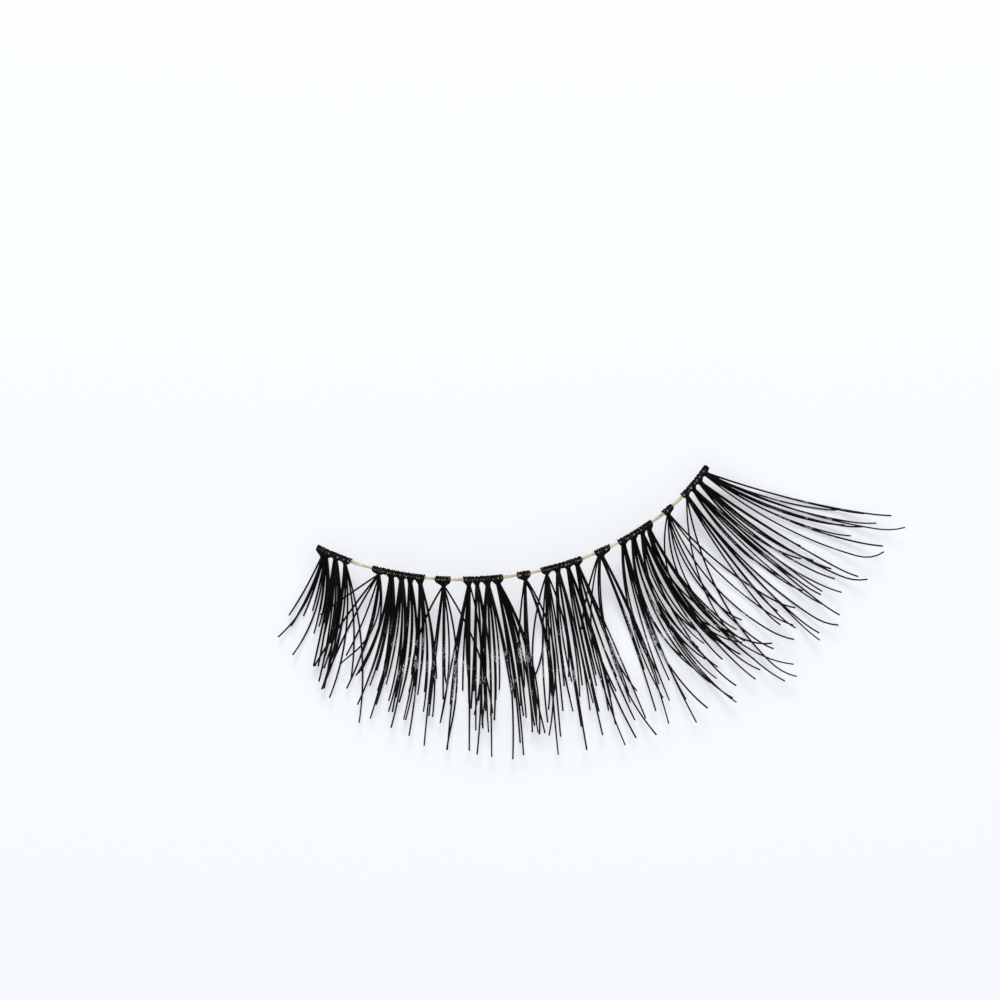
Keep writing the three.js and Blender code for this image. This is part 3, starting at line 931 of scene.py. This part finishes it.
class EYELASH_OT_stage(bpy.types.Operator):
    """Lay the pale surface, light it softly and set the camera straight above the strip"""

    bl_idname = "eyelash.stage"
    bl_label = "Surface, Light and Camera"

    def execute(self, context):
        settings = context.scene.eyelash_strip.stage
        start = BAND.points[0]
        turn = math.radians(PHOTO_TURN)
        up = Vector((-math.sin(turn), math.cos(turn), 0))
        middle = Vector((start.x + PHOTO_MIDDLE[0], start.y + PHOTO_MIDDLE[1], 0))
        self.add_camera(context, settings, middle, turn)
        self.add_key(context, settings, middle, up)
        self.add_floor(context, settings)
        self.add_sky(context, settings)
        return {"FINISHED"}

    def add_camera(self, context, settings, middle, turn):
        data = bpy.data.cameras.new("camera")
        data.lens = settings.focal_length
        data.sensor_width = SENSOR
        height = PHOTO_WIDTH * settings.focal_length / SENSOR
        data.clip_start = height * CLIP_SHARE
        camera = bpy.data.objects.new("camera", data)
        camera.location = middle + Vector((0, 0, height))
        camera.rotation_euler = (0, 0, turn)
        context.scene.collection.objects.link(camera)
        context.scene.camera = camera

    def add_key(self, context, settings, middle, up):
        data = bpy.data.lights.new("key", "AREA")
        data.shape = "DISK"
        data.size = settings.key_size
        data.energy = settings.key_power
        data.color = KEY_COLOUR
        key = bpy.data.objects.new("key", data)
        toward_key = up * math.cos(settings.key_elevation) + Vector((0, 0, math.sin(settings.key_elevation)))
        key.location = middle + toward_key * settings.key_distance
        key.rotation_euler = toward_key.to_track_quat("Z", "Y").to_euler()
        context.scene.collection.objects.link(key)

    def add_floor(self, context, settings):
        mesh = bpy.data.meshes.new("surface")
        bm = bmesh.new()
        bmesh.ops.create_grid(bm, x_segments=1, y_segments=1, size=settings.floor_size / 2)
        bm.to_mesh(mesh)
        bm.free()
        mesh.materials.append(floor_look(settings))
        floor = bpy.data.objects.new("surface", mesh)
        context.scene.collection.objects.link(floor)

    def add_sky(self, context, settings):
        world = bpy.data.worlds.new("soft_light")
        world.use_nodes = True
        background = next(n for n in world.node_tree.nodes if n.type == "BACKGROUND")
        background.inputs["Color"].default_value = opaque(settings.sky)
        background.inputs["Strength"].default_value = settings.sky_strength
        context.scene.world = world
        context.scene.view_settings.view_transform = "Standard"


class EYELASH_OT_thread(bpy.types.Operator):
    """Twist the cream thread that all the knots are tied on"""

    bl_idname = "eyelash.thread"
    bl_label = "Thread"

    def execute(self, context):
        settings = context.scene.eyelash_strip.thread
        piece = build_thread(settings)
        show_as(piece, thread_look(settings), "thread", "band_thread")
        return {"FINISHED"}


class EYELASH_OT_row(bpy.types.Operator):
    """Knot one row of tufts on the thread, with their lashes"""

    bl_idname = "eyelash.row"
    bl_label = "Row of Tufts"

    row: bpy.props.EnumProperty(
        name="Row", description="The row, counted from the inner corner of the eye",
        items=[(letter, f"Row {letter}", f"The tufts of row {letter}") for letter in KNOT_ENDS])

    def execute(self, context):
        settings = context.scene.eyelash_strip.lash
        material = bpy.data.materials.get("lash_hair") or lash_look(settings)
        for name in TUFTS:
            if name[0] != self.row:
                continue
            if f"tuft_{name}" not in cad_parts:
                raise RuntimeError(f"the frame has no node for tuft {name}")
            show_as(build_tuft(name, settings), material, "lash", f"tuft_{name}")
        return {"FINISHED"}


class EYELASH_PT_strip(bpy.types.Panel):
    """The steps of the strip and their settings"""

    bl_idname = "EYELASH_PT_strip"
    bl_label = "False Eyelash Strip"
    bl_space_type = "VIEW_3D"
    bl_region_type = "UI"
    bl_category = "Eyelashes"

    def draw(self, context):
        settings = context.scene.eyelash_strip
        steps = (
            (EYELASH_OT_stage, settings.stage),
            (EYELASH_OT_thread, settings.thread),
            (EYELASH_OT_row, settings.lash),
        )
        for operator, group in steps:
            box = self.layout.box()
            box.operator(operator.bl_idname)
            for name in group.__annotations__:
                box.prop(group, name)


CLASSES = (LashSettings, ThreadSettings, StageSettings, StripSettings, EYELASH_OT_stage, EYELASH_OT_thread,
           EYELASH_OT_row, EYELASH_PT_strip)


def register():
    for each in CLASSES:
        bpy.utils.register_class(each)
    bpy.types.Scene.eyelash_strip = bpy.props.PointerProperty(
        type=StripSettings, name="Eyelash Strip", description="Settings of the false eyelash strip")


def unregister():
    del bpy.types.Scene.eyelash_strip
    for each in reversed(CLASSES):
        bpy.utils.unregister_class(each)


def main():
    register()
    bpy.ops.eyelash.stage()
    bpy.ops.eyelash.thread()
    for row in KNOT_ENDS:
        bpy.ops.eyelash.row(row=row)
    bpy.context.view_layer.update()


if __name__ == "__main__":
    main()
